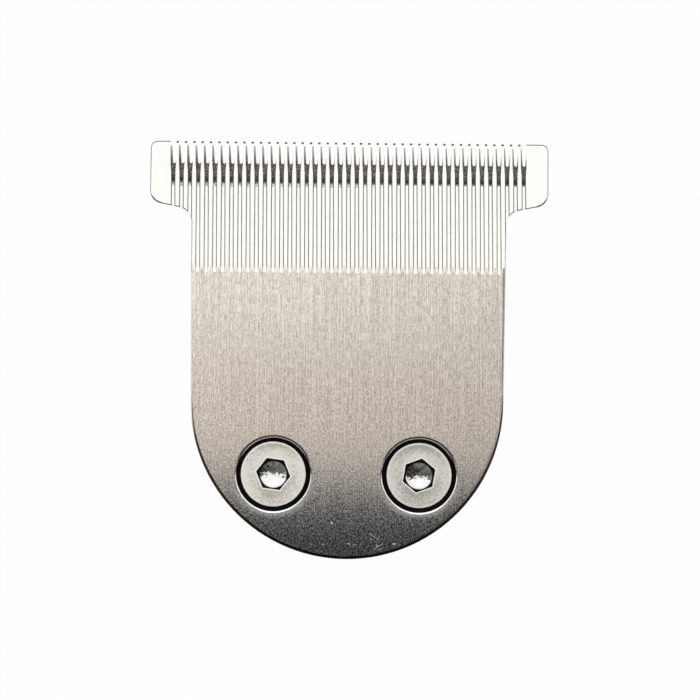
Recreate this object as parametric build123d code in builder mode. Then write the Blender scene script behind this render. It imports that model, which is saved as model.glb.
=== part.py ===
from build123d import *
from math import acos, atan2, cos, hypot, sin
import os

# T-blade set of a hair trimmer: a fixed comb plate, the cutter that slides behind it, and the
# moulded holder that carries both. Millimetres. +Z points out of the comb plate's outer face,
# +Y toward the tooth tips, and the origin is under the middle of the set, at the holder's rim.

# Fixed blade; distances along Y are measured back from the tooth tips
blade_length = 41.8
head_width = 40.0
body_width = 31.57
heel_radius = 15.65
plate_thickness = 2.0
tip_thickness = 0.4
bevel_length = 12.5
wing_depth = 6.1
wing_drop = 0.85
wing_tip_radius = 0.7
wing_rear_radius = 1.35
wing_root_radius = 1.55
edge_break = 0.1
hollow_front = 7.0
hollow_rear = 14.0
hollow_depth = 0.15

# Comb teeth and the grooves behind them
tooth_pitch = 0.8384
end_wing = 2.4
comb_offset = -0.08
comb_skew = 0.56
slot_tip_width = 0.6
slot_knee_width = 0.565
slot_root_width = 0.28
slot_knee = 2.3
slot_length = 4.3
slot_end_run = 0.26
groove_front_width = 0.45
groove_rear_width = 0.5
groove_side = 0.1
groove_depth = 0.08
tip_break = 0.2
tip_break_drop = 0.16

# Moving cutter
cutter_thickness = 0.8
running_gap = 0.02
cutter_setback = 0.4
cutter_root_setback = 2.2
cutter_gap_tip_width = 0.5
cutter_gap_root_width = 0.3
cutter_gap_root_break = 0.1
cutter_end_tooth = 1.05
cutter_nose = 0.35
cutter_bevel = 4.0
cutter_bar_depth = 5.6
cutter_tail_width = 24.0
cutter_tail_end = 20.2
cutter_corner = 1.0
cutter_travel = 1.1
cutter_offset = 0.055

# Drive fork
fork_width = 18.0
fork_depth = 6.2
fork_front = 14.5
fork_gap = 5.0
prong_width = 2.2
prong_depth = 5.0
prong_clear = 1.0
fork_round = 0.4
stake_diameter = 2.0
stake_head = 2.8
stake_pitch = 10.0
stake_sink = 0.05
stake_clearance = 0.04

# Blade holder
holder_height = 7.0
holder_inset = 0.5
holder_wall = 1.3
holder_front = 12.8
holder_corner = 1.5
rim_break = 0.3
deck_bottom = 4.7
deck_relief = 0.25
guide_clearance = 0.1
travel_clearance = 0.4
boss_diameter = 8.0
boss_clear = 0.9
heel_slot_width = 9.0
heel_slot_height = 1.8
heel_slot_clear = 1.4
snap_length = 4.0
snap_height = 1.6
snap_clear = 1.3
snap_setback = 17.5

# Screws and threaded inserts
screw_pitch = 14.6
screw_from_heel = 8.45
counterbore_diameter = 7.5
counterbore_depth = 1.4
counterbore_break = 0.14
counterbore_break_drop = 0.08
screw_hole = 4.3
thread_diameter = 4.0
screw_length = 6.4
thread_lead = 0.4
head_diameter = 6.5
head_height = 1.4
head_break = 0.12
socket_across_flats = 3.0
socket_depth = 1.0
socket_break = 0.06
drill_point_depth = 0.7
left_socket_turn = -7.6
right_socket_turn = 20.5
insert_diameter = 5.6
insert_length = 5.2
insert_groove = 0.3
insert_groove_width = 0.8
thread_clearance = 0.05
pilot_clearance = 0.2
drill_point_step = 0.25
insert_clearance = 0.02

# Pressure spring and the holder's pegs that are staked over it
spring_width = 16.6
spring_thickness = 0.3
spring_base_depth = 4.4
spring_boss_gap = 0.45
spring_bend = 0.8
arm_width = 2.0
arm_dip = 0.9
arm_tip_run = 1.3
arm_tip_drop = 0.6
contact_land = 0.8
spring_clearance = 0.03
peg_diameter = 1.8
peg_head = 2.8
peg_head_height = 0.6
peg_pitch = 9.0
peg_clearance = 0.1

# Levels and places that follow from the sizes above
seat_z = holder_height
plate_top = seat_z + plate_thickness
cutter_z = seat_z - running_gap - cutter_thickness
deck_top = cutter_z - deck_relief
tip_y = blade_length / 2
heel_y = heel_radius - blade_length / 2
screw_y = screw_from_heel - blade_length / 2
under_head = plate_top - counterbore_depth
slot_count = round((head_width - 2 * end_wing) / tooth_pitch) + 1
toothed_width = (slot_count - 1) * tooth_pitch
cutter_x = comb_offset + cutter_offset
over = 1.0
upward = (Align.CENTER, Align.CENTER, Align.MIN)
downward = (Align.CENTER, Align.CENTER, Align.MAX)

os.makedirs("parts", exist_ok=True)


def behind_tips(distance):
    return tip_y - distance


def side_plane(x, z):
    """A plane for side profiles: its x runs along +Y, its y along +Z."""
    return Plane(origin=(x, 0, z), x_dir=(0, 1, 0), z_dir=(1, 0, 0))


def section_plane(y, z):
    """A plane for cross sections: its x runs along +X, its y along +Z."""
    return Plane(origin=(0, y, z), x_dir=(1, 0, 0), z_dir=(0, -1, 0))


def bevel_height(distance):
    rise = plate_thickness - tip_thickness
    return seat_z + tip_thickness + rise * distance / bevel_length


# Slot tool: the open wedge between two teeth and the shallow groove that runs up the bevel from it
with BuildPart() as slot_tool:
    over_width = slot_tip_width + (slot_tip_width - slot_knee_width) * over / slot_knee
    root_z = bevel_height(slot_length)
    for z in (seat_z - over, plate_top + over):
        slot_end = slot_length - slot_end_run * (root_z - z) / (root_z - seat_z)
        with BuildSketch(Plane.XY.offset(z)):
            with BuildLine():
                Polyline(
                    (-slot_root_width / 2, behind_tips(slot_end)),
                    (slot_root_width / 2, behind_tips(slot_end)),
                    (slot_knee_width / 2, behind_tips(slot_knee)),
                    (over_width / 2, behind_tips(-over)),
                    (-over_width / 2, behind_tips(-over)),
                    (-slot_knee_width / 2, behind_tips(slot_knee)),
                    close=True,
                )
            make_face()
    loft(ruled=True)
    run_out = bevel_length * (1 + groove_depth / (plate_thickness - tip_thickness))
    for distance in (-over, run_out + over):
        share = (distance - slot_length) / (bevel_length - slot_length)
        half_width = (groove_front_width + (groove_rear_width - groove_front_width) * share) / 2
        half_mouth = half_width + groove_side * over / groove_depth
        with BuildSketch(section_plane(behind_tips(distance), bevel_height(distance))):
            with BuildLine():
                Polyline(
                    (groove_side - half_width, -groove_depth),
                    (half_width - groove_side, -groove_depth),
                    (half_mouth, over),
                    (-half_mouth, over),
                    close=True,
                )
            make_face()
    loft(ruled=True)

# Fixed blade: plan outline and side profile, then slots and screw holes
root_y = behind_tips(wing_depth + wing_drop)
root_reach = hypot(body_width / 2, root_y - heel_y)
heel_turn = atan2(root_y - heel_y, body_width / 2) - acos(min(1.0, heel_radius / root_reach))
side_end = (heel_radius * cos(heel_turn), heel_y + heel_radius * sin(heel_turn))
with BuildPart() as fixed_blade:
    with BuildSketch(Plane.XY.offset(seat_z)):
        with BuildLine():
            FilletPolyline(
                (-side_end[0], side_end[1]),
                (-body_width / 2, root_y),
                (-head_width / 2, behind_tips(wing_depth)),
                (-head_width / 2, tip_y),
                (head_width / 2, tip_y),
                (head_width / 2, behind_tips(wing_depth)),
                (body_width / 2, root_y),
                side_end,
                radius=[
                    wing_root_radius,
                    wing_rear_radius,
                    wing_tip_radius,
                    wing_tip_radius,
                    wing_rear_radius,
                    wing_root_radius,
                ],
            )
            ThreePointArc(side_end, (0, heel_y - heel_radius), (-side_end[0], side_end[1]))
        make_face()
    extrude(amount=plate_thickness)
    with BuildSketch(side_plane(0, seat_z)):
        with BuildLine():
            Polyline(
                (-blade_length, 0),
                (behind_tips(hollow_rear), 0),
                (behind_tips(hollow_rear), hollow_depth),
                (behind_tips(hollow_front), hollow_depth),
                (behind_tips(hollow_front), 0),
                (tip_y, 0),
                (tip_y, tip_thickness),
                (behind_tips(bevel_length), plate_thickness),
                (-blade_length, plate_thickness),
                close=True,
            )
        make_face()
    extrude(amount=head_width, both=True, mode=Mode.INTERSECT)
    outer_faces = fixed_blade.faces().filter_by(lambda face: face.normal_at().Z > 0.95)
    bevel_line = outer_faces.sort_by(Axis.Z)[-1].edges().sort_by(Axis.Y)[-1]
    outline = outer_faces.edges().filter_by(lambda edge: edge.center() != bevel_line.center())
    chamfer(outline, edge_break)
    with BuildSketch(side_plane(comb_offset, seat_z)):
        with BuildLine():
            Polyline(
                (behind_tips(tip_break), bevel_height(tip_break) - seat_z),
                (tip_y, tip_thickness - tip_break_drop),
                (tip_y + over, tip_thickness - tip_break_drop),
                (tip_y + over, plate_thickness),
                (behind_tips(tip_break), plate_thickness),
                close=True,
            )
        make_face()
    extrude(amount=toothed_width / 2, both=True, mode=Mode.SUBTRACT)
    slot_end_axis = Axis((0, behind_tips(slot_length), seat_z), (0, 0, 1))
    skewed_slot = slot_tool.part.rotate(slot_end_axis, comb_skew)
    with Locations((comb_offset, 0)):
        with GridLocations(tooth_pitch, 1, slot_count, 1):
            add(skewed_slot, mode=Mode.SUBTRACT)
    with Locations((0, screw_y, plate_top)):
        with GridLocations(screw_pitch, 1, 2, 1):
            CounterBoreHole(screw_hole / 2, counterbore_diameter / 2, counterbore_depth)
    rims = fixed_blade.edges().filter_by(GeomType.CIRCLE).group_by(Axis.Z)[-1]
    rims = rims.filter_by(lambda edge: edge.radius < heel_radius / 2)
    top_face = fixed_blade.faces().sort_by(Axis.Z)[-1]
    chamfer(rims, counterbore_break, counterbore_break_drop, reference=top_face)
fixed_blade.part.label = "fixed_blade"
export_step(fixed_blade.part, "parts/fixed_blade.step")

# Moving cutter: a thinner T plate with gaps at the comb's pitch
cutter_width = toothed_width + 2 * cutter_end_tooth
stake_y = behind_tips(fork_front + fork_depth / 2)
root_end_y = behind_tips(cutter_root_setback)
root_half = cutter_gap_root_width / 2
with BuildPart() as gap_tool:
    with BuildSketch(Plane((cutter_x, 0, cutter_z - over))):
        with BuildLine():
            Polyline(
                (cutter_gap_tip_width / 2, tip_y),
                (cutter_gap_tip_width / 2, behind_tips(cutter_setback)),
                (root_half, root_end_y + cutter_gap_root_break),
                (root_half - cutter_gap_root_break, root_end_y),
                (cutter_gap_root_break - root_half, root_end_y),
                (-root_half, root_end_y + cutter_gap_root_break),
                (-cutter_gap_tip_width / 2, behind_tips(cutter_setback)),
                (-cutter_gap_tip_width / 2, tip_y),
                close=True,
            )
        make_face()
    extrude(amount=cutter_thickness + 2 * over)
with BuildPart() as moving_cutter:
    with BuildSketch(Plane((cutter_x, 0, cutter_z))):
        with BuildLine():
            FilletPolyline(
                (-cutter_width / 2, behind_tips(cutter_setback)),
                (cutter_width / 2, behind_tips(cutter_setback)),
                (cutter_width / 2, behind_tips(cutter_bar_depth)),
                (cutter_tail_width / 2, behind_tips(cutter_bar_depth)),
                (cutter_tail_width / 2, behind_tips(cutter_tail_end)),
                (-cutter_tail_width / 2, behind_tips(cutter_tail_end)),
                (-cutter_tail_width / 2, behind_tips(cutter_bar_depth)),
                (-cutter_width / 2, behind_tips(cutter_bar_depth)),
                radius=cutter_corner,
                close=True,
            )
        make_face()
    extrude(amount=cutter_thickness)
    with BuildSketch(side_plane(cutter_x, cutter_z)):
        with BuildLine():
            Polyline(
                (-blade_length, 0),
                (behind_tips(cutter_setback + cutter_bevel), 0),
                (behind_tips(cutter_setback), cutter_thickness - cutter_nose),
                (behind_tips(cutter_setback), cutter_thickness),
                (-blade_length, cutter_thickness),
                close=True,
            )
        make_face()
    extrude(amount=cutter_width, both=True, mode=Mode.INTERSECT)
    with GridLocations(tooth_pitch, 1, slot_count, 1):
        add(gap_tool.part, mode=Mode.SUBTRACT)
    with Locations((cutter_x, stake_y, cutter_z + cutter_thickness)):
        with GridLocations(stake_pitch, 1, 2, 1):
            CounterSinkHole(stake_diameter / 2, stake_head / 2, counter_sink_angle=90)
moving_cutter.part.label = "moving_cutter"
export_step(moving_cutter.part, "parts/moving_cutter.step")

# Drive fork: slider block under the cutter, two prongs for the drive pin, two staked pegs
with BuildPart() as drive_fork:
    with Locations((cutter_x, stake_y, deck_bottom)):
        Box(fork_width, fork_depth, cutter_z - deck_bottom, align=upward)
        with GridLocations(fork_gap + prong_width, 1, 2, 1):
            Box(prong_width, prong_depth, deck_bottom - prong_clear, align=downward)
    fillet(drive_fork.edges().filter_by(Axis.Z), fork_round)
    stake_radius = stake_diameter / 2 - stake_clearance
    head_rise = stake_head / 2 - stake_sink - stake_diameter / 2
    with Locations((cutter_x, stake_y, cutter_z)):
        with GridLocations(stake_pitch, 1, 2, 1):
            Cylinder(stake_radius, cutter_thickness - stake_sink, align=upward)
    with Locations((cutter_x, stake_y, cutter_z + cutter_thickness - stake_sink)):
        with GridLocations(stake_pitch, 1, 2, 1):
            Cone(stake_radius, stake_radius + head_rise, head_rise, align=downward)
drive_fork.part.label = "drive_fork"
export_step(drive_fork.part, "parts/drive_fork.step")

# Pressure spring: a bent leaf, its base on two pegs and its two arms pressing up on the fork
base_z = deck_bottom - spring_thickness / 2
base_rear_y = screw_y + boss_diameter / 2 + spring_boss_gap
base_front_y = base_rear_y + spring_base_depth
peg_y = base_rear_y + spring_base_depth / 2
with BuildPart() as pressure_spring:
    with BuildSketch(side_plane(0, base_z)):
        with BuildLine():
            FilletPolyline(
                (base_rear_y, 0),
                (base_front_y, 0),
                ((base_front_y + stake_y) / 2, -arm_dip),
                (stake_y - contact_land / 2, -spring_clearance),
                (stake_y + contact_land / 2, -spring_clearance),
                (stake_y + contact_land / 2 + arm_tip_run, -arm_tip_drop),
                radius=spring_bend,
            )
        trace(line_width=spring_thickness)
    extrude(amount=spring_width / 2, both=True)
    with Locations((0, base_front_y, base_z)):
        Box(
            spring_width - 2 * arm_width,
            2 * (stake_y - base_front_y) + fork_depth,
            4 * arm_dip,
            align=(Align.CENTER, Align.MIN, Align.CENTER),
            mode=Mode.SUBTRACT,
        )
    with Locations((0, peg_y, deck_bottom)):
        with GridLocations(peg_pitch, 1, 2, 1):
            Hole(peg_diameter / 2 + peg_clearance)
pressure_spring.part.label = "pressure_spring"
export_step(pressure_spring.part, "parts/pressure_spring.step")

# Blade holder: moulded tray with the deck, the fork's window, screw bosses and spring pegs
holder_half = heel_radius - holder_inset
front_y = behind_tips(holder_front)
deck_step_y = behind_tips(fork_front + fork_depth + guide_clearance)
window_width = fork_width + 2 * (cutter_travel + travel_clearance)
with BuildPart() as blade_holder:
    with BuildSketch() as holder_plan:
        with BuildLine():
            FilletPolyline(
                (-holder_half, heel_y),
                (-holder_half, front_y),
                (holder_half, front_y),
                (holder_half, heel_y),
                radius=holder_corner,
            )
            ThreePointArc((holder_half, heel_y), (0, heel_y - holder_half), (-holder_half, heel_y))
        make_face()
    extrude(amount=holder_height)
    chamfer(blade_holder.edges().group_by(Axis.Z)[0], rim_break)
    with BuildSketch():
        offset(holder_plan.sketch, amount=-holder_wall)
    extrude(amount=deck_bottom, mode=Mode.SUBTRACT)
    with Locations((0, deck_step_y, deck_top)):
        Box(
            2 * (holder_half - holder_wall),
            front_y - deck_step_y + over,
            seat_z - deck_top + over,
            align=(Align.CENTER, Align.MIN, Align.MIN),
            mode=Mode.SUBTRACT,
        )
    with Locations((0, stake_y, deck_bottom)):
        Box(window_width, fork_depth + 2 * guide_clearance, holder_height, mode=Mode.SUBTRACT)
    with Locations((0, screw_y, boss_clear)):
        with GridLocations(screw_pitch, 1, 2, 1):
            Cylinder(boss_diameter / 2, deck_bottom - boss_clear, align=upward)
    with Locations((0, peg_y, deck_bottom)):
        with GridLocations(peg_pitch, 1, 2, 1):
            Cylinder(peg_diameter / 2, spring_thickness, align=downward)
    with Locations((0, peg_y, deck_bottom - spring_thickness)):
        with GridLocations(peg_pitch, 1, 2, 1):
            Cylinder(peg_head / 2, peg_head_height, align=downward)
    with Locations((0, screw_y, seat_z)):
        with GridLocations(screw_pitch, 1, 2, 1):
            Hole(thread_diameter / 2 + pilot_clearance)
            Hole(insert_diameter / 2 + insert_clearance, depth=insert_length)
    with Locations((0, heel_y - holder_half, heel_slot_clear)):
        Box(
            heel_slot_width,
            2 * (holder_wall + heel_slot_height),
            heel_slot_height,
            align=upward,
            mode=Mode.SUBTRACT,
        )
    with Locations((0, behind_tips(snap_setback), snap_clear)):
        with GridLocations(2 * holder_half, 1, 2, 1):
            Box(4 * holder_wall, snap_length, snap_height, align=upward, mode=Mode.SUBTRACT)
blade_holder.part.label = "blade_holder"
export_step(blade_holder.part, "parts/blade_holder.step")


# Screws and the threaded inserts they are driven into
def export_screw(name, x, socket_turn):
    head_top = under_head + head_height
    with BuildPart() as screw:
        with Locations((x, screw_y, under_head)):
            Cylinder(head_diameter / 2, head_height, align=upward)
            Cylinder(thread_diameter / 2, screw_length, align=downward)
        ends = screw.edges().filter_by(GeomType.CIRCLE).sort_by(Axis.Z)
        chamfer(ends[-1], head_break)
        chamfer(ends[0], thread_lead)
        with BuildSketch(Plane((x, screw_y, head_top))):
            RegularPolygon(socket_across_flats / 2, 6, major_radius=False, rotation=socket_turn)
        extrude(amount=-socket_depth, mode=Mode.SUBTRACT)
        rim_lines = screw.edges().filter_by(GeomType.LINE).group_by(Axis.Z)[-1]
        chamfer(rim_lines, socket_break)
        with Locations((x, screw_y, head_top - socket_depth)):
            drill_radius = socket_across_flats / 2 - drill_point_step
            Cone(0, drill_radius, drill_point_depth, align=downward, mode=Mode.SUBTRACT)
    screw.part.label = name
    export_step(screw.part, f"parts/{name}.step")


def export_insert(name, x):
    with BuildPart() as insert:
        with Locations((x, screw_y, seat_z)):
            Cylinder(insert_diameter / 2, insert_length, align=downward)
            Hole(thread_diameter / 2 + thread_clearance)
        with BuildSketch(section_plane(screw_y, seat_z - insert_length / 2)):
            with Locations((x + insert_diameter / 2, 0)):
                Rectangle(2 * insert_groove, insert_groove_width)
        revolve(axis=Axis((x, screw_y, 0), (0, 0, 1)), mode=Mode.SUBTRACT)
    insert.part.label = name
    export_step(insert.part, f"parts/{name}.step")


export_screw("screw_left", -screw_pitch / 2, left_socket_turn)
export_screw("screw_right", screw_pitch / 2, right_socket_turn)
export_insert("insert_left", -screw_pitch / 2)
export_insert("insert_right", screw_pitch / 2)
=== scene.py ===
# %% [markdown]
# # A hair clipper blade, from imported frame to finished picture
# The object is a T-shaped trimmer head that lies on its holder's rim with the comb plate up. All of
# its pieces are rigid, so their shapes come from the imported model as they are. This lesson gives
# them their finishes, and sets up the camera and the light that bring those finishes out.
# A fixed frame could be traced by hand here, but loading it keeps every size the maker's own.

# %% Load the frame
import math
from types import SimpleNamespace

import bmesh
import bpy
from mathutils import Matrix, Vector


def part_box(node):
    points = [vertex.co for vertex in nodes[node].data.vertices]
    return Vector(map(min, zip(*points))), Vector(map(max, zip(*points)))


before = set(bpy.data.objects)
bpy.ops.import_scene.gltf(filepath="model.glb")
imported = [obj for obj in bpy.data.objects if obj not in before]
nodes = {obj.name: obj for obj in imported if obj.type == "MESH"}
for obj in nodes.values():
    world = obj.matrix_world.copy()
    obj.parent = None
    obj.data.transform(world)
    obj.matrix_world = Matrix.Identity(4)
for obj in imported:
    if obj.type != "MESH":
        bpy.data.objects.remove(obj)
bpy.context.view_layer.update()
MM = 0.001

# %% [markdown]
# ## Places on the object
# A finish often belongs to one place: the bevel, a screw's axis, the heel. Such places could be
# typed in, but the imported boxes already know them, so they are read from the frame and stay right
# when a size changes. They are kept in millimetres, as all lengths in the finishes are.

# %% Read the places that the finishes need
blade_low, blade_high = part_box("fixed_blade")
plate_top = blade_high.z / MM
tips_y = blade_high.y / MM
heel_y = blade_low.y / MM
head_half = blade_high.x / MM
screw_axes = {}
for name in ("screw_left", "screw_right"):
    screw_low, screw_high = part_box(name)
    screw_axes[name] = (screw_low + screw_high) / 2 / MM
head_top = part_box("screw_left")[1].z / MM
print("plate top", round(plate_top, 3), "tips", round(tips_y, 3), "heel", round(heel_y, 3))

# %% [markdown]
# ## Shader maths written as Python
# Each finish is a small formula: stripes plus grain, a mask times a colour. Linking Math nodes by
# hand hides that formula. The class below wraps one socket, so that an ordinary expression such as
# `1 - mask * 0.5` adds the nodes for it. One method, `node`, makes every other kind of node.


# %% A class that wraps a socket
class Wire:
    """One socket of a shader. Arithmetic on it adds Math nodes to its tree."""

    def __init__(self, tree, socket=None):
        self.tree = tree
        self.socket = socket

    def node(self, kind, settings=None, sockets=None, output=0):
        """Add a node of a kind, set it up, fill its sockets with values or wires, return an output."""
        made = self.tree.nodes.new(kind)
        for name, value in (settings or {}).items():
            setattr(made, name, value)
        for key, value in (sockets or {}).items():
            if isinstance(value, Wire):
                self.tree.links.new(value.socket, made.inputs[key])
            else:
                made.inputs[key].default_value = value
        return Wire(self.tree, made.outputs[output]) if made.outputs else None

    def math(self, operation, *values):
        return self.node("ShaderNodeMath", {"operation": operation}, dict(enumerate(values)))

    def vector(self, operation, other, output="Vector"):
        return self.node("ShaderNodeVectorMath", {"operation": operation}, {0: self, 1: other}, output)

    def __add__(self, other):
        return self.math("ADD", self, other)

    def __sub__(self, other):
        return self.math("SUBTRACT", self, other)

    def __rsub__(self, other):
        return self.math("SUBTRACT", other, self)

    def __mul__(self, other):
        return self.math("MULTIPLY", self, other)

    def __truediv__(self, other):
        return self.math("DIVIDE", self, other)

    def __abs__(self):
        return self.math("ABSOLUTE", self)

    __radd__ = __add__

    def at_least(self, other):
        return self.math("MAXIMUM", self, other)

    def ramp(self, start, end, low, high, shape="LINEAR"):
        """A straight ramp from low to high while this goes from start to end, level outside them."""
        reach = {"Value": self, "From Min": start, "From Max": end, "To Min": low, "To Max": high}
        return self.node("ShaderNodeMapRange", {"interpolation_type": shape}, reach)

    def step(self, start, end, low=0.0, high=1.0):
        """A smooth step between the same limits."""
        return self.ramp(start, end, low, high, shape="SMOOTHSTEP")

    def band(self, start, full, fading, end):
        """A smooth band: up from 0 to 1 between start and full, and down between fading and end."""
        return self.step(start, full) * self.step(end, fading)

    def axes(self):
        """The three numbers of a vector."""
        split = self.node("ShaderNodeSeparateXYZ", sockets={"Vector": self})
        return [Wire(self.tree, out) for out in split.socket.node.outputs]

    def blend(self, first, second):
        """Two colours mixed by this number."""
        mix = {"data_type": "RGBA", "clamp_factor": True}
        return self.node("ShaderNodeMix", mix, {0: self, 6: first, 7: second}, output=2)


print("shader maths ready")

# %% [markdown]
# ## A starting point for every finish
# A finish needs the point being shaded, in millimetres, and a surface shader to end in. Object
# coordinates are used because a node's own coordinates are its place in the frame: a pattern then
# sits still on the piece, at its real scale.


# %% Begin and end a finish
def colour(red, green, blue):
    return (red, green, blue, 1.0)


def empty_tree(owner):
    """Give a material or a world an empty node tree; returns a wire to start from."""
    owner.use_nodes = True
    owner.node_tree.nodes.clear()
    return Wire(owner.node_tree)


def begin_finish(name):
    """A new material; returns it and the point being shaded, in millimetres."""
    material = bpy.data.materials.new(name)
    place = empty_tree(material).node("ShaderNodeTexCoord", output="Object")
    scaled = {0: place, "Scale": 1 / MM}
    return material, place.node("ShaderNodeVectorMath", {"operation": "SCALE"}, scaled)


def end_finish(material, sockets):
    """Close a material with a Principled surface that has these sockets."""
    start = Wire(material.node_tree)
    surface = start.node("ShaderNodeBsdfPrincipled", sockets=sockets)
    start.node("ShaderNodeOutputMaterial", sockets={"Surface": surface})
    print("finish", material.name, "nodes", len(material.node_tree.nodes))
    return material


# %% Measure a point
FLAT = (1, 1, 0)


def surface_normal(point):
    return point.node("ShaderNodeNewGeometry", output="Normal")


def length_of(first, second):
    """The length of two runs that are square to each other."""
    return first.math("SQRT", first * first + second * second)


def distance_to(point, x, y):
    """How far a point lies from an upright axis."""
    return point.vector("MULTIPLY", FLAT).vector("DISTANCE", (x, y, 0), output="Value")


def joined(first, second):
    """A vector of two numbers, for a pattern that runs around an axis."""
    return first.node("ShaderNodeCombineXYZ", sockets={"X": first, "Y": second})


# %% Roughen and turn a surface
LIGHT_SIDE = Vector((0.0, 0.2, 0.98))


def noise(point, stretch, detail=2.0, roughness=0.5):
    """Noise between 0 and 1, with so many features to the millimetre along each axis."""
    scaled = point.vector("MULTIPLY", stretch)
    look = {"Vector": scaled, "Scale": 1.0, "Detail": detail, "Roughness": roughness}
    return point.node("ShaderNodeTexNoise", sockets=look)


def bump(height, distance_mm, strength=1.0):
    look = {"Height": height, "Distance": distance_mm * MM, "Strength": strength}
    return height.node("ShaderNodeBump", sockets=look, output="Normal")


def catch_light(normal, share):
    """A normal turned by a share toward the light, as on a rounded or worn edge that catches it."""
    sides = {0: share, 4: normal, 5: LIGHT_SIDE}
    turned = normal.node("ShaderNodeMix", {"data_type": "VECTOR"}, sockets=sides, output=1)
    return normal.node("ShaderNodeVectorMath", {"operation": "NORMALIZE"}, {0: turned})


# %% [markdown]
# ## The comb plate's brushed steel
# The plate was drawn over an abrasive belt along its length, so its scratches run from tip to heel
# and are a tenth of a millimetre wide. An image of brushed metal would do, but noise stretched along
# Y gives the same lines at the right scale everywhere. Three layers add up: hair-fine lines, broader
# streaks, and the short grain between them, which comes out more toward the worn heel. The lines tint
# the steel, vary its gloss a little, and tilt the surface by a fraction of a degree, which breaks up
# the reflection at the heel. What the finish asks of a point is read once and shared by its layers.


# %% Read what the plate's finish asks of a point
BEVEL_LINE = 8.4
SLOT_END = 16.6
TOOTH_PITCH = 0.8384
COMB_OFFSET = -0.08
COMB_SKEW = math.tan(math.radians(0.56))
COMB_START_Y = (BEVEL_LINE - 0.9, BEVEL_LINE - 0.7)
LEVEL_LIFT = (0.93, 0.97)
EDGE_LIFT = (0.2, 0.4, 0.8, 0.93)
BEVEL_TILT = (0.05, 0.1)


def read_plate(point):
    """Where a point of the plate lies, how its surface faces, and the brushing that it carries."""
    x, y, z = point.axes()
    lean, tilt, lift = surface_normal(point).axes()
    plate = SimpleNamespace(point=point, x=x, y=y, lean=lean, tilt=tilt, lift=lift)
    plate.below = plate_top - z
    plate.level = lift.step(*LEVEL_LIFT)
    plate.bevel = plate.level * tilt.step(*BEVEL_TILT)
    plate.edge = lift.band(*EDGE_LIFT)
    plate.comb = y.step(*COMB_START_Y)
    plate.comb_x = x - COMB_OFFSET - (SLOT_END - y) * COMB_SKEW
    plate.from_groove = plate.comb_x.math("PINGPONG", plate.comb_x, TOOTH_PITCH / 2)
    plate.hairlines = noise(point, (8.0, 0.1, 3.0), roughness=0.6)
    plate.streaks = noise(point, (8.5, 1.1, 6.0), roughness=0.7)
    plate.grain = noise(point, (7.5, 4.0, 7.0), roughness=0.8)
    return plate


# %% Brush the steel
# Troughs and crests of the lines: by the bevel, in the dulled middle and at the cooler heel
LINE_TONES = (
    (colour(0.5, 0.467, 0.424), colour(1.0, 0.955, 0.895)),
    (colour(0.478, 0.43, 0.388), colour(0.955, 0.88, 0.82)),
    (colour(0.44, 0.437, 0.425), colour(0.96, 0.955, 0.935)),
)
WORN_Y = (-13.5, -2.0)
DULLED_Y = (-5.0, 4.0)
COOL_Y = (-18.0, -11.0)


def brushed_lines(plate):
    """The steel's colour under its lines, and the lines themselves."""
    worn = plate.y.ramp(*WORN_Y, 1.0, 0.0)
    dulled = plate.y.ramp(*DULLED_Y, 1.0, 0.0)
    cool = plate.y.ramp(*COOL_Y, 1.0, 0.0)
    lines = (plate.hairlines - 0.5) * 1.4 + (plate.streaks - 0.5) * 2.0
    lines = lines + (plate.grain - 0.5) * (2.0 + worn * 4.5)
    troughs, crests = [
        cool.blend(dulled.blend(front, middle), heel) for front, middle, heel in zip(*LINE_TONES)
    ]
    return (lines + 0.5).blend(troughs, crests), lines


# %% [markdown]
# ## The bevel and its grooves
# The bevel was ground after the brushing and is almost white. Its grooves run out past the line where
# it starts. A small round highlight is painted at each groove's end, and the band between them is torn
# and painted lighter, as a highlight next to the bright bevel. Modelling a burr at each end would cost
# thousands of faces. The grooves repeat at one pitch, so the distance to the nearest one, folded back
# and forth across the comb, places all the painted highlights at once.

# %% Grind the bevel
WHITE_STEEL = colour(1.0, 0.99, 0.97)
BEVEL_STEEL = colour(0.96, 0.937, 0.888)
BEVEL_START_STEEL = colour(0.9, 0.87, 0.78)
GROOVE_SIDE_STEEL = colour(0.8, 0.76, 0.7)
GROOVE_END_HIGHLIGHT = colour(0.97, 0.94, 0.88)
BEVEL_START_Y = (BEVEL_LINE + 0.4, BEVEL_LINE - 0.1)
TORN_AND_LIT_Y = (BEVEL_LINE - 0.65, BEVEL_LINE - 0.3)
PAST_LINE_Y = (BEVEL_LINE + 0.05, BEVEL_LINE - 0.05)
GROOVE_RUN_OUT = 0.66
GROOVE_POINT_SLOPE = 0.3
GROOVE_END_PAST_LINE = 0.5
GROOVE_END_REACH = (0.26, 0.12)


def bevel_and_grooves(plate, steel):
    """The ground bevel, a streaky band beside its start painted lighter as a highlight, and highlights
    painted at its grooves' ends.
    """
    y, bevel, streaks = plate.y, plate.bevel, plate.streaks
    steel = (bevel * 0.85).blend(steel, BEVEL_STEEL)
    steel = (bevel * y.step(*BEVEL_START_Y) * 0.8).blend(steel, BEVEL_START_STEEL)
    # A streaky, torn band of the flat next to the bevel, painted lighter as a highlight.
    torn_and_lit = y.step(*TORN_AND_LIT_Y) * streaks.step(0.25, 0.58) * (1 - bevel)
    steel = (torn_and_lit * plate.level * 0.85).blend(steel, WHITE_STEEL)
    past_line = y.step(*PAST_LINE_Y)
    half_point = (y - BEVEL_LINE + GROOVE_RUN_OUT) * GROOVE_POINT_SLOPE
    beside_point = (plate.from_groove - half_point).step(0.0, 0.05)
    steel = (bevel * past_line * beside_point).blend(steel, GROOVE_SIDE_STEEL)
    # A small painted highlight at each groove's end.
    from_end = length_of(plate.from_groove, y - BEVEL_LINE + GROOVE_END_PAST_LINE)
    groove_end_highlight = (from_end + (streaks - 0.5) * 0.3).step(*GROOVE_END_REACH)
    return (groove_end_highlight * plate.level).blend(steel, GROOVE_END_HIGHLIGHT)
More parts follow.
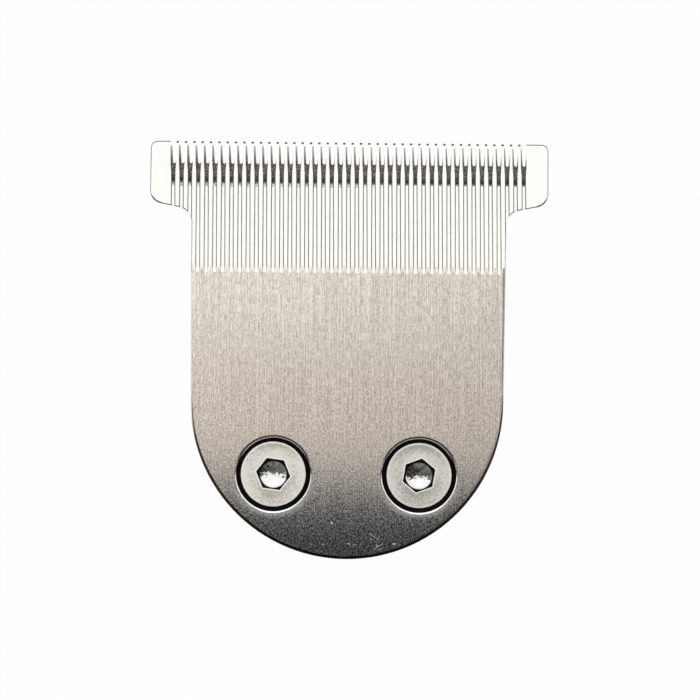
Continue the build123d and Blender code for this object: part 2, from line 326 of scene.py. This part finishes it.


# %% [markdown]
# ## The plate's sides, bores and outline
# The plate was blanked from strip, so its upright sides show the drag lines of the tool. About each
# bore light and shade are painted: the gap round the screw is painted dark as shade with a painted
# glint toward the teeth, the edge on the teeth's side and a ring beyond it are painted dark as shade,
# and the edge on the heel's side carries a painted highlight with a soft painted gleam beyond it. Each
# is a ring about the screw's axis, which is simpler than drawing it in an image and follows the screw
# if it moves. The other broken edges are painted bright or dark by the way they face, and the outline
# along the heel and the right side is painted dark as shade.

# %% Shear the sides
SHEARED_STEEL = (colour(0.36, 0.35, 0.34), colour(0.72, 0.71, 0.69))


def sheared_sides(plate, steel):
    """The upright sides with the blanking tool's drag lines; returns their mask too."""
    upright = abs(plate.lift).step(0.3, 0.1) * (1 - plate.comb)
    drag_lines = noise(plate.point, (5.0, 5.0, 0.5), roughness=0.6)
    return upright.blend(steel, drag_lines.step(0.35, 0.65).blend(*SHEARED_STEEL)), upright


# %% Find the rings about the screws
GAP_SHADE_REACH = (3.79, 3.73)
GAP_SHADE_DEPTH = (0.1, 0.25)
GLINT_RING = (3.6, 3.64, 3.76, 3.8)
RIM_REACH = (4.2, 4.1)
HALO_REACH = (4.6, 3.92)
RIM_SHADE_RING = (3.8, 3.84, 3.9, 3.98)
LIT_RIM_RING = (3.73, 3.76, 3.79, 3.84)
LIT_RIM_DEPTH = (0.16, 0.14)


def read_bores(plate):
    """Masks of the shade and light painted about the counterbores, added up over both."""
    bores = SimpleNamespace(gap_shade=0.0, glint=0.0, rim=0.0, halo=0.0, rim_shade=0.0, worn=0.0)
    for axis in screw_axes.values():
        away = distance_to(plate.point, axis.x, axis.y)
        to_teeth = plate.y - axis.y
        # The gap round the screw painted dark as shade, with a painted glint on it toward the teeth.
        bores.gap_shade += away.step(*GAP_SHADE_REACH) * plate.below.step(*GAP_SHADE_DEPTH)
        bores.glint += away.band(*GLINT_RING) * to_teeth.step(1.2, 2.4)
        bores.rim += away.step(*RIM_REACH)
        # A soft painted highlight on the plate beyond the heel's side of the bore.
        bores.halo += away.step(*HALO_REACH) * to_teeth.step(0.0, -4.0)
        # A ring on the plate beyond the bore's edge on the teeth's side, painted dark as shade.
        bores.rim_shade += away.band(*RIM_SHADE_RING) * to_teeth.step(0.5, 2.2)
        # The bore's edge on the heel's side painted bright as a highlight.
        bores.worn += away.band(*LIT_RIM_RING) * to_teeth.step(0.9, -0.8)
    bores.worn = bores.worn * plate.below.step(*LIT_RIM_DEPTH)
    return bores


# %% Paint light and shade on the broken edges
HALO_HIGHLIGHT = colour(1.0, 0.98, 0.95)
LIT_EDGE = colour(0.98, 0.97, 0.95)
SHADED_EDGE = colour(0.02, 0.018, 0.017)
FAR_RIM_SHADE = colour(0.05, 0.045, 0.042)
RIM_SHADE = colour(0.08, 0.072, 0.068)


def edges_and_rims(plate, bores, steel):
    """Painted light and shade on the broken edges of the outline and the bores, by the way each faces,
    with the painted rims and gleam about the bores.
    """
    # A soft painted highlight on the plate beyond the heel's side of each bore.
    steel = (bores.halo * plate.level * 0.75).blend(steel, HALO_HIGHLIGHT)
    # Painted shade on broken edges that face the heel or the right side, and in the bores on those that
    # face the heel; the other broken edges are painted bright as highlights.
    right_edge = plate.lean.step(0.3, 0.6) * plate.y.step(-3.0, -6.0, 0.3, 0.9)
    outer_shade = plate.tilt.step(-0.04, -0.2).at_least(right_edge)
    bore_shade = plate.tilt.step(0.1, -0.25) * 0.97
    shaded = outer_shade + bores.rim * (bore_shade - outer_shade)
    broken = plate.edge * (1 - plate.comb)
    lit = broken * (1 - shaded) * (1 - bores.rim * 0.6)
    # The bore's edge on the heel's side is painted bright as a highlight too.
    steel = (lit + bores.worn).blend(steel, LIT_EDGE)
    steel = (broken * shaded).blend(steel, SHADED_EDGE)
    # The bore's edge on the teeth's side painted dark as shade.
    far_rim = bores.rim * plate.tilt.step(-0.1, -0.3) * plate.lift.step(0.98, 0.93)
    steel = far_rim.blend(steel, FAR_RIM_SHADE)
    # The ring beyond each bore's edge on the teeth's side painted dark as shade.
    return (bores.rim_shade * plate.level * 0.6).blend(steel, RIM_SHADE)


# %% Paint shade along the outline
HEEL_RADIUS = 15.65
RIGHT_SIDE_X = (15.43, 15.5, 15.6, 15.68)
RIGHT_SIDE_Y = (-4.5, -3.0, 8.2, 8.5)


def shaded_outline(plate, steel):
    """Painted shade: the dark line along the heel and the right side, softer on the heel's right."""
    x, y = plate.x, plate.y
    from_centre = distance_to(plate.point, 0, heel_y + HEEL_RADIUS)
    line_width = y.ramp(-5.0, -13.0, 0.22, 0.34)
    heel_line = (from_centre + line_width).step(HEEL_RADIUS, HEEL_RADIUS + 0.08) * y.step(-3.5, -7.0)
    soft_line = from_centre.step(HEEL_RADIUS - 0.6, HEEL_RADIUS - 0.2) * 0.6
    soft_line = soft_line * x.step(3.0, 9.0) * y.step(-6.0, -12.0)
    side_line = x.band(*RIGHT_SIDE_X) * y.band(*RIGHT_SIDE_Y) * 0.65
    outline_shade = heel_line.at_least(soft_line + side_line)
    return (outline_shade * plate.level * 0.95).blend(steel, SHADED_EDGE)


# %% [markdown]
# ## The teeth
# Every tooth and groove has a thin dark line of painted shade along its edges, which fades toward the
# wings, and every tip ends in a dot of painted shade. The lines sit on edges that the model already
# breaks, so the tilt of the surface finds them. The slots' walls are painted dark as shade, and their
# feet are darker in specks.

# %% Paint the comb's lines of shade
LINE_SHADE = colour(0.1, 0.09, 0.085)
WING_CORNER = 1.35
WING_CORNER_BACK = 4.99


def comb_lines(plate, steel):
    """Painted shade: the lines along the teeth and grooves, the dots at the tips and the strokes at the
    wings.
    """
    x, y, tilt = plate.x, plate.y, plate.tilt
    tip_dot = y.step(tips_y - 0.4, tips_y - 0.3) * tilt.step(0.3, 0.5)
    faded = abs(x).step(7.0, 15.0) * y.step(14.5, 12.0)
    outermost = abs(x).step(15.5, 15.65) * y.step(14.5, 13.0)
    dark = 0.45 - faded * 0.2 - outermost * 0.12 + tilt.step(-0.3, -0.6) * 0.4 + tip_dot * 0.45
    line_end = y.step(BEVEL_LINE - 0.25, BEVEL_LINE + 0.2)
    steel = (plate.edge * plate.comb * dark * line_end).blend(steel, LINE_SHADE)
    # Dark strokes painted as shade at the wings' corners, on the edges that face the heel.
    beside = abs(x) - (head_half - WING_CORNER)
    behind = y - (tips_y - WING_CORNER_BACK)
    stroke = length_of(beside, behind).step(WING_CORNER - 0.19, WING_CORNER - 0.12)
    stroke = stroke * behind.step(-0.35, -0.75) * beside.step(0.0, 0.4)
    return (stroke * 0.85).blend(steel, LINE_SHADE)


# %% Paint shade in the slots
FOOT_DARK = colour(0.16, 0.145, 0.13)
SLOT_SHADE = colour(0.05, 0.045, 0.04)
END_WALL_STEEL = colour(0.9, 0.88, 0.85)
FOOT_Y = (SLOT_END - 0.34, SLOT_END - 0.2, SLOT_END, SLOT_END + 0.2)
END_WALL_Y = (SLOT_END - 0.6, SLOT_END - 0.4, SLOT_END + 0.4, SLOT_END + 0.6)
COMB_HALF = 17.95


def shaded_slots(plate, steel):
    """Darker specks at the slots' feet, painted shade on their walls, and their pale end walls; returns
    those too.
    """
    # Darker specks at the slots' feet, on the left of the comb.
    foot = plate.from_groove.step(0.2, 0.15) * abs(plate.comb_x).step(COMB_HALF, COMB_HALF - 0.05)
    foot = foot * plate.y.band(*FOOT_Y) * plate.x.step(8.0, -4.0) * plate.grain.step(0.6, 0.45)
    steel = (foot * 0.75).blend(steel, FOOT_DARK)
    # The slots' walls painted dark as shade, more so further in.
    walls = abs(plate.lean).step(0.85, 0.95) * plate.comb
    wall_shade = walls * plate.y.ramp(tips_y - 1.8, tips_y - 0.5, 0.9, 0.45)
    steel = wall_shade.blend(steel, SLOT_SHADE)
    end_walls = plate.tilt.step(0.6, 0.8) * plate.y.band(*END_WALL_Y)
    return end_walls.blend(steel, END_WALL_STEEL), end_walls


# %% [markdown]
# ## Scratches at the heel, and the whole plate
# A dozen short scratches lie scattered at the heel. Random ones would do for any old blade, but these
# were measured, so that they lie where this one has them. Each is a straight run from one end to the
# other, and a point's distance to that run says whether it is scratched.

# %% Scratches that the photograph shows at the heel: two ends, half width, strength
HEEL_MARKS = [
    ((-1.44, -17.27), (-1.36, -17.33), 0.1, 0.9),
    ((0.22, -19.33), (0.42, -19.36), 0.06, 0.7),
    ((0.72, -19.47), (1.05, -19.42), 0.05, 0.4),
    ((2.45, -18.33), (3.25, -18.9), 0.05, 0.4),
    ((2.57, -18.87), (2.62, -18.89), 0.07, 0.5),
    ((2.85, -19.9), (3.75, -19.3), 0.05, 0.35),
    ((3.3, -19.98), (3.7, -19.78), 0.05, 0.35),
    ((3.1, -19.5), (3.2, -19.54), 0.08, 0.6),
    ((4.78, -19.32), (4.95, -19.3), 0.1, 0.8),
    ((-3.5, -19.45), (-3.45, -19.45), 0.07, 0.4),
    ((-2.3, -19.44), (-2.25, -19.45), 0.07, 0.4),
    ((-2.8, -20.1), (-2.76, -20.12), 0.07, 0.4),
]


def scratches(point, marks):
    """A mask of straight marks in the XY plane."""
    flat = point.vector("MULTIPLY", FLAT)
    total = 0.0
    for start, end, half_width, strength in marks:
        tail = Vector((*start, 0))
        run = Vector((*end, 0)) - tail
        from_tail = flat.vector("SUBTRACT", tail)
        share = from_tail.vector("DOT_PRODUCT", run, output="Value").ramp(0, run.length_squared, 0, 1)
        scaled = {0: run, "Scale": share}
        nearest = point.node("ShaderNodeVectorMath", {"operation": "SCALE"}, scaled)
        away = from_tail.vector("DISTANCE", nearest, output="Value")
        total = total + away.step(half_width, half_width * 0.2) * strength
    return total


# %% Make the plate's steel
GAP_SHADE_AND_GLINT = (colour(0.03, 0.024, 0.021), colour(0.8, 0.76, 0.72))
SCRATCHED_STEEL = colour(0.9, 0.89, 0.87)
BRUSHED_ROUGHNESS = 0.076
BRUSHED_DEPTH = 0.0012


def brushed_plate_steel():
    material, point = begin_finish("blade_steel")
    plate = read_plate(point)
    bores = read_bores(plate)
    steel, lines = brushed_lines(plate)
    steel = bevel_and_grooves(plate, steel)
    steel, upright = sheared_sides(plate, steel)
    steel = edges_and_rims(plate, bores, steel)
    steel = shaded_outline(plate, steel)
    steel = comb_lines(plate, steel)
    steel, end_walls = shaded_slots(plate, steel)
    # The gap round each screw painted dark as shade, with its painted glint.
    steel = bores.gap_shade.blend(steel, bores.glint.blend(*GAP_SHADE_AND_GLINT))
    marks = scratches(point, HEEL_MARKS) * plate.below.step(0.05, 0.02)
    roughness = BRUSHED_ROUGHNESS + lines * 0.02 + marks * 0.3 + plate.edge * 0.25 + upright * 0.2
    roughness = roughness + bores.gap_shade * (0.6 - bores.glint * 0.5) + end_walls * 0.5
    relief = bump(plate.streaks * 0.4 + plate.grain * 0.8, BRUSHED_DEPTH)
    return end_finish(material, {
        "Base Color": marks.blend(steel, SCRATCHED_STEEL),
        "Metallic": 1.0 - end_walls - marks * 0.7 - bores.halo * plate.level * 0.3,
        "Roughness": roughness,
        "Normal": catch_light(relief, bores.worn * 0.75),
    })


# %% [markdown]
# ## The cutter's dark steel
# Between the comb's teeth the cutter shows almost black with a brown cast: partly the shade deep in the
# slots, partly a hardened steel with its heat scale left on and a ground top face. It is made from a
# dark metal that also stands in for that shade, with fine grinding lines across it and specks where the
# scale has come off, so that it isn't one flat tone. Toward its tips it carries painted light, and
# further in, under the slots' ends, painted shade.

# %% Make the cutter's steel
# The dark steel, dark also to stand in for the shade in the slots.
HEAT_SCALE_AND_SHADE = (colour(0.06, 0.053, 0.048), colour(0.2, 0.18, 0.167))
BARE_STEEL = colour(0.6, 0.57, 0.53)
LIT_TIP = colour(0.8, 0.77, 0.73)


def dark_cutter_steel():
    material, point = begin_finish("cutter_steel")
    y = point.axes()[1]
    ground = noise(point, (0.5, 11.0, 11.0))
    specks = noise(point, (7.0, 7.0, 7.0), detail=3.0, roughness=0.7)
    steel = (specks.step(0.5, 0.64) * 0.8).blend((ground * 0.8).blend(*HEAT_SCALE_AND_SHADE), BARE_STEEL)
    # Painted light: the cutter lighter toward its tips.
    lit_tips = y.ramp(tips_y - 1.9, tips_y - 0.6, 0.0, 0.75)
    steel = lit_tips.blend(steel, LIT_TIP)
    # Painted shade further in, under the comb's slot ends.
    shaded_further_in = y.step(tips_y - 3.3, tips_y - 3.8)
    return end_finish(material, {
        "Base Color": (shaded_further_in * 0.7).blend(steel, SLOT_SHADE),
        "Metallic": 1.0,
        "Roughness": 0.22 + ground * 0.2,
        "Normal": bump(ground * 0.7 + specks * 0.3, 0.004),
    })


# %% [markdown]
# ## The screws' satin steel
# The heads were turned and tumbled, so they are softer than the plate and catch more of the light
# around them. Painted shade and light run over each head from the socket to the rim, as on a head
# dished by a hair, and both rims and the broken edges carry a painted highlight. Rings about each
# screw's axis come from the distance to it. The hex socket was punched over a drilled point and the
# cone keeps its drill lines. The socket's walls and ledge are painted dark as shade, and so is the
# cone's half toward the teeth, while its half toward the heel is painted bright as a highlight.

# %% Read what a screw's finish asks of a point
HEAD_RADIUS = 3.25
SOCKET_HALF = 1.5
SOCKET_TURN_DEG = {"left": -7.6, "right": 20.5}


def read_screw(point, side):
    """Where a point of a screw lies about its axis and under its head's top, and how it faces."""
    axis = screw_axes[f"screw_{side}"]
    x, y, z = point.vector("SUBTRACT", axis).axes()
    screw = SimpleNamespace(point=point, side=side, x=x, y=y, reach=length_of(x, y))
    screw.around = y / (screw.reach + 0.001)
    screw.depth = head_top - axis.z - z
    screw.lift = abs(surface_normal(point).axes()[2])
    screw.turned = noise(joined(screw.reach, z), (6.0, 1.0, 1.0))
    screw.grain = noise(point, (6.5, 6.5, 6.5), roughness=0.8)
    return screw


def hex_reach(x, y, turn_deg):
    """How far out a point lies in a hexagon, measured square to the nearest flat."""
    farthest = abs(x * 0.0)
    for flat in range(3):
        facing = math.radians(turn_deg + 30 + 60 * flat)
        farthest = farthest.at_least(abs(x * math.cos(facing) + y * math.sin(facing)))
    return farthest


# %% Turn the heads
SATIN_STEEL = (colour(0.55, 0.52, 0.48), colour(1.0, 0.94, 0.85))
HEAD_SHADE = {"left": 0.72, "right": 0.55}


def satin_head(screw):
    """The head with painted shade and light for its dish, and painted highlights on its rims and broken
    edges; returns both highlight masks too.
    """
    around, reach = screw.around, screw.reach
    around_squared = around * around
    # Painted shade and light over the head, as on a head dished by a hair.
    dish_shade = around * reach.ramp(2.0, 2.9, 0.45, -0.3)
    dish_shade = dish_shade + (1 - around_squared) * reach.ramp(2.2, 2.9, 0.0, 0.4)
    dish_shade = dish_shade - around_squared * reach.ramp(2.3, 2.8, 0.0, 0.33)
    clouds = noise(screw.point, (0.5, 0.5, 0.5))
    tone = HEAD_SHADE[screw.side] + dish_shade + (screw.turned - 0.5) * 0.3
    tone = tone + (screw.grain - 0.5) * 3.0 + (clouds - 0.5) * 0.5
    ragged = hex_reach(screw.x, screw.y, SOCKET_TURN_DEG[screw.side]) + (screw.grain - 0.5) * 0.15
    # Painted highlights on the head's rim and round the socket's mouth.
    rim_highlight = reach.step(HEAD_RADIUS - 0.17, HEAD_RADIUS - 0.12)
    rim_highlight = rim_highlight + ragged.step(SOCKET_HALF + 0.13, SOCKET_HALF + 0.07)
    rim_highlight = rim_highlight * screw.depth.step(0.03, 0.02)
    # The broken edges painted white as highlights.
    broken = screw.lift.band(0.15, 0.3, 0.85, 0.97) * screw.depth.step(0.2, 0.15)
    return (rim_highlight + broken).blend(tone.blend(*SATIN_STEEL), WHITE_STEEL), rim_highlight, broken


# %% Punch the sockets
SHADED_CONE = (colour(0.03, 0.028, 0.026), colour(0.34, 0.32, 0.3))
DRILLED_STEEL = colour(0.88, 0.86, 0.84)
SOCKET_SHADE = colour(0.012, 0.01, 0.009)
CONE_LINE = {"left": 0.05, "right": -0.18}


def drilled_socket(screw, steel):
    """The socket over its drilled cone, painted dark as shade and bright as a highlight; returns its
    masks and its drill lines too.
    """
    x, y, reach = screw.x, screw.y, screw.reach
    inside = screw.depth.band(0.09, 0.2, 2.0, 2.1) * reach.step(2.0, 1.9)
    drill = noise(joined(y.math("ARCTAN2", y, x), reach), (7.0, 1.5, 1.0))
    mottle = noise(screw.point, (2.4, 2.4, 0.5), detail=3.0, roughness=0.7)
    # The cone's half toward the heel painted bright as a highlight, the rest painted dark as shade.
    shade_line = y + abs(x) * 0.22 + (drill - 0.5) * 1.2 + (mottle - 0.5) * 2.4
    lit_cone = inside * (shade_line - CONE_LINE[screw.side]).step(0.1, -0.1)
    shaded_cone = (drill * 0.5 + mottle * 0.5 + x * 0.07).step(0.36, 0.62).blend(*SHADED_CONE)
    cone = drill.step(0.3, 0.6).blend(WHITE_STEEL, DRILLED_STEEL)
    steel = inside.blend(steel, lit_cone.blend(shaded_cone, cone))
    # Painted shade on the socket's ledge and walls and on the head's side below its rim.
    socket_shade = inside * (reach + screw.around * 0.08).step(1.28, 1.36)
    socket_shade = socket_shade + screw.lift.step(0.5, 0.2) * inside
    socket_shade = socket_shade + reach.step(3.1, 3.2) * screw.depth.step(0.14, 0.2)
    return socket_shade.blend(steel, SOCKET_SHADE), inside, lit_cone, drill


# %% Make the screws' steel
HEAD_LEAN = {"left": 0.2, "right": 0.06}


def satin_screw_steel(side):
    material, point = begin_finish(f"screw_steel_{side}")
    screw = read_screw(point, side)
    steel, rim_highlight, broken = satin_head(screw)
    steel, inside, lit_cone, drill = drilled_socket(screw, steel)
    roughness = 0.45 + (screw.grain - 0.5) * 0.2 + broken * 0.3 - inside * 0.1 - rim_highlight * 0.25
    relief = bump(screw.grain * 0.6 + screw.turned * 0.3 + drill * inside * 3.0, 0.004)
    return end_finish(material, {
        "Base Color": steel,
        "Metallic": 1.0 - broken * 0.8,
        "Roughness": roughness,
        "Normal": catch_light(relief, HEAD_LEAN[side] + rim_highlight * 0.6 + lit_cone * 0.6),
    })


# %% [markdown]
# ## The holder's black plastic
# The holder is moulded in a filled black plastic with a fine spark-eroded texture. Voronoi cells a
# few tenths of a millimetre across give that grain its rounded bumps, and a slow noise shifts the
# gloss where the melt flowed.

# %% Make the holder's plastic
FILLED_BLACK = (colour(0.018, 0.018, 0.019), colour(0.05, 0.05, 0.052))


def grained_black_plastic():
    material, point = begin_finish("holder_plastic")
    cells = {"Vector": point, "Scale": 4.5, "Smoothness": 0.6}
    pits = point.node("ShaderNodeTexVoronoi", {"feature": "SMOOTH_F1"}, cells, output="Distance")
    flow = noise(point, (0.25, 0.12, 0.25), detail=3.0)
    fibres = noise(point, (5.0, 1.2, 5.0))
    return end_finish(material, {
        "Base Color": (flow * 0.6 + fibres * 0.4).blend(*FILLED_BLACK),
        "Roughness": 0.42 + flow * 0.2,
        "Normal": bump(pits * 0.8 + fibres * 0.3, 0.03, 0.6),
    })


# %% [markdown]
# ## The drive fork's white plastic
# The fork rubs on the drive pin, so it is made of a slippery acetal that stays its natural milky
# white. Faint flow lines and a waxy gloss tell it from the holder.

# %% Make the fork's plastic
MILKY_WHITE = (colour(0.74, 0.72, 0.67), colour(0.86, 0.85, 0.81))


def natural_acetal():
    material, point = begin_finish("fork_plastic")
    flow = noise(point, (0.5, 0.2, 0.5), detail=3.0)
    dust = noise(point, (6.0, 6.0, 6.0))
    return end_finish(material, {
        "Base Color": (flow * 0.7 + dust * 0.3).blend(*MILKY_WHITE),
        "Roughness": 0.32 + dust * 0.15,
        "Subsurface Weight": 0.15,
        "Subsurface Scale": 0.5 * MM,
        "Normal": bump(dust, 0.006),
    })


# %% [markdown]
# ## The spring's rolled strip and the brass inserts
# The leaf spring is stamped from cold-rolled strip, with rolling lines along its arms and a cool grey
# tone. The inserts are turned from brass bar and have rings about their axis. Both finishes reuse the
# stretched noise, along Y for the strip and around the bore for the brass.

# %% Make the spring's and the inserts' metal
ROLLED_STRIP = (colour(0.42, 0.43, 0.45), colour(0.72, 0.72, 0.73))
TURNED_BRASS = (colour(0.5, 0.36, 0.15), colour(0.83, 0.66, 0.34))


def rolled_spring_strip():
    material, point = begin_finish("spring_steel")
    rolling = noise(point, (8.0, 0.25, 8.0), detail=3.0)
    clouds = noise(point, (0.4, 0.4, 0.4))
    return end_finish(material, {
        "Base Color": (rolling * 0.6 + clouds * 0.4).blend(*ROLLED_STRIP),
        "Metallic": 1.0,
        "Roughness": 0.2 + rolling * 0.18,
        "Normal": bump(rolling, 0.0015),
    })


def turned_brass(side):
    material, point = begin_finish(f"insert_brass_{side}")
    x, y, z = point.vector("SUBTRACT", screw_axes[f"screw_{side}"]).axes()
    rings = noise(joined(length_of(x, y), z), (9.0, 9.0, 1.0))
    tarnish = noise(point, (0.9, 0.9, 0.9), detail=3.0)
    return end_finish(material, {
        "Base Color": (rings * 0.5 + tarnish * 0.5).blend(*TURNED_BRASS),
        "Metallic": 1.0,
        "Roughness": 0.24 + tarnish * 0.2,
        "Normal": bump(rings, 0.003),
    })


# %% Dress every node of the frame
def dress(node, material):
    mesh = nodes[node].data
    mesh.materials.clear()
    mesh.materials.append(material)


dress("fixed_blade", brushed_plate_steel())
dress("moving_cutter", dark_cutter_steel())
dress("drive_fork", natural_acetal())
dress("blade_holder", grained_black_plastic())
dress("pressure_spring", rolled_spring_strip())
for side in ("left", "right"):
    dress(f"screw_{side}", satin_screw_steel(side))
    dress(f"insert_{side}", turned_brass(side))
print("dressed", len(nodes), "nodes")

# %% [markdown]
# ## The floor
# The picture's ground is plain white. A white floor lit to exactly white would need its light tuned to
# the last percent, so what the camera and the reflections see is mostly a white glow of strength 1,
# with a share of plain white diffuse that keeps the object's shadow. Under the holder the glow is off,
# so that no light comes up through the slots.

# %% Lay the floor
FLOOR_HALF = 1.5
grid = bmesh.new()
bmesh.ops.create_grid(grid, x_segments=1, y_segments=1, size=FLOOR_HALF)
floor_mesh = bpy.data.meshes.new("floor")
grid.to_mesh(floor_mesh)
grid.free()
floor = bpy.data.objects.new("floor", floor_mesh)
bpy.context.scene.collection.objects.link(floor)
print("floor", 2 * FLOOR_HALF, "m wide")

# %% Make the floor white
SHADOW_SHARE = 0.025
floor_material = bpy.data.materials.new("floor_white")
start = empty_tree(floor_material)
by_camera, by_metal, by_glass = [
    start.node("ShaderNodeLightPath", output=f"Is {kind} Ray")
    for kind in ("Camera", "Glossy", "Transmission")
]
holder_low, holder_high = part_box("blade_holder")
x, y, z = start.node("ShaderNodeTexCoord", output="Object").axes()
behind = (holder_low.y + holder_high.x - y).at_least(0.0)
under = length_of(x, behind).step(holder_high.x, holder_high.x - MM)
under = under * y.step(holder_high.y, holder_high.y - MM)
seen = by_camera.at_least(by_metal.at_least(by_glass)) * (1 - under)
matt = start.node("ShaderNodeBsdfDiffuse", sockets={"Color": colour(0.9, 0.9, 0.9)})
glow = start.node("ShaderNodeEmission", sockets={"Color": colour(1, 1, 1), "Strength": 1.0})
shares = {0: seen * (1 - SHADOW_SHARE), 1: matt, 2: glow}
ground = start.node("ShaderNodeMixShader", sockets=shares)
start.node("ShaderNodeOutputMaterial", sockets={"Surface": ground})
floor_mesh.materials.append(floor_material)
print("floor finish nodes", len(floor_material.node_tree.nodes))

# %% [markdown]
# ## The camera
# The photograph looks straight down, with the blade a little left of the middle and turned by about
# half a degree. The camera hangs over the plate at arm's length. Its lens follows from the width that
# the picture takes in at the plate's top.

# %% Hang the camera
CAMERA_HEIGHT = 0.30
VIEW_WIDTH_MM = 70.05
VIEW_CENTRE_MM = (0.25, 0.045)
ROLL_DEG = 0.62
SENSOR_WIDTH_MM = 36.0
camera_data = bpy.data.cameras.new("camera")
camera_data.sensor_width = SENSOR_WIDTH_MM
camera_data.lens = SENSOR_WIDTH_MM * CAMERA_HEIGHT / (VIEW_WIDTH_MM * MM)
camera = bpy.data.objects.new("camera", camera_data)
camera.location = (VIEW_CENTRE_MM[0] * MM, VIEW_CENTRE_MM[1] * MM, blade_high.z + CAMERA_HEIGHT)
camera.rotation_euler = (0, 0, math.radians(ROLL_DEG))
bpy.context.scene.collection.objects.link(camera)
bpy.context.scene.camera = camera
print("lens in mm", round(camera_data.lens, 1))

# %% [markdown]
# ## The studio
# A flat metal plate looks like what it mirrors. In the photograph the plate goes from light at the
# bevel to dark at the heel, so the studio was bright on the teeth's side and dark behind the heel. A
# tent of lamps and black cards could stand round the object, but a world with that shape does the same
# with less: a bright dome that falls off across the line straight above the plate. Its angle is
# measured from straight up, positive toward the teeth. Overhead the light is warmer and stronger on
# the left. Low on the teeth's side it dims, and low on the heel's side a weaker light comes up again,
# which keeps contrast in the pieces when they are seen from the side.

# %% Shape the dome's light, with angles in degrees
DARK = 0.022
OVERHEAD = (9.0, 4.0)
OPEN_SKY = (-2.9, -2.25)
LOW_ON_TEETH_SIDE = (56.0, 74.0)
LOW_ON_HEEL_SIDE = (-14.0, -22.0)
world = bpy.data.worlds.new("studio_dome")
bpy.context.scene.world = world
start = empty_tree(world)
across, along, up = start.node("ShaderNodeTexCoord", output="Generated").axes()
angle = along.math("ARCTAN2", along, up) * math.degrees(1)
overhead = angle.step(*OVERHEAD)
soft_box = angle.ramp(-2.0, 2.0, 0.66, 1.0) + angle.ramp(2.0, 12.0, 0.0, 0.1)
soft_box = soft_box + angle.step(-0.6, -1.8) * 0.09
soft_box = soft_box * (1 + overhead * across.ramp(-0.2, 0.2, 0.3, -0.3))
soft_box = soft_box * angle.step(*LOW_ON_TEETH_SIDE, 1.0, 0.06)
soft_box = soft_box * abs(across).step(0.45, 0.8, 1.0, 0.4)
heel_side = DARK + angle.step(*LOW_ON_HEEL_SIDE) * angle.ramp(-85.0, -40.0, 0.4, 0.7)
open_sky = angle.step(*OPEN_SKY)
dome = heel_side + open_sky * (soft_box - heel_side)
print("dome shaped by", len(world.node_tree.nodes), "nodes")

# %% Light the dome
COOL_LIGHT = colour(0.98, 1.0, 1.0)
WARM_LIGHT = colour(1.0, 0.965, 0.92)
by_camera = start.node("ShaderNodeLightPath", output="Is Camera Ray")
strength = dome + by_camera * (1 - dome)
tint = (open_sky * overhead * (1 - by_camera)).blend(COOL_LIGHT, WARM_LIGHT)
light = start.node("ShaderNodeBackground", sockets={"Color": tint, "Strength": strength})
start.node("ShaderNodeOutputWorld", sockets={"Surface": light})
print("world", world.name)

# %% Hang one soft lamp on the teeth's side
LAMP_PLACE = Vector((-0.05, 0.55, 0.42))
LAMP_WIDTH = 0.5
LAMP_HEIGHT = 0.3
LAMP_WATTS = 0.5
lamp_data = bpy.data.lights.new("soft_lamp", "AREA")
lamp_data.shape = "RECTANGLE"
lamp_data.size = LAMP_WIDTH
lamp_data.size_y = LAMP_HEIGHT
lamp_data.energy = LAMP_WATTS
lamp = bpy.data.objects.new("soft_lamp", lamp_data)
lamp.location = LAMP_PLACE
lamp.rotation_euler = (-LAMP_PLACE).to_track_quat("-Z", "Y").to_euler()
bpy.context.scene.collection.objects.link(lamp)
print("lamp of", LAMP_WATTS, "W")

# %% [markdown]
# ## The view transform
# The view transform is set to Standard so that a colour is shown as written.

# %% Show colours as written
bpy.context.scene.view_settings.view_transform = "Standard"
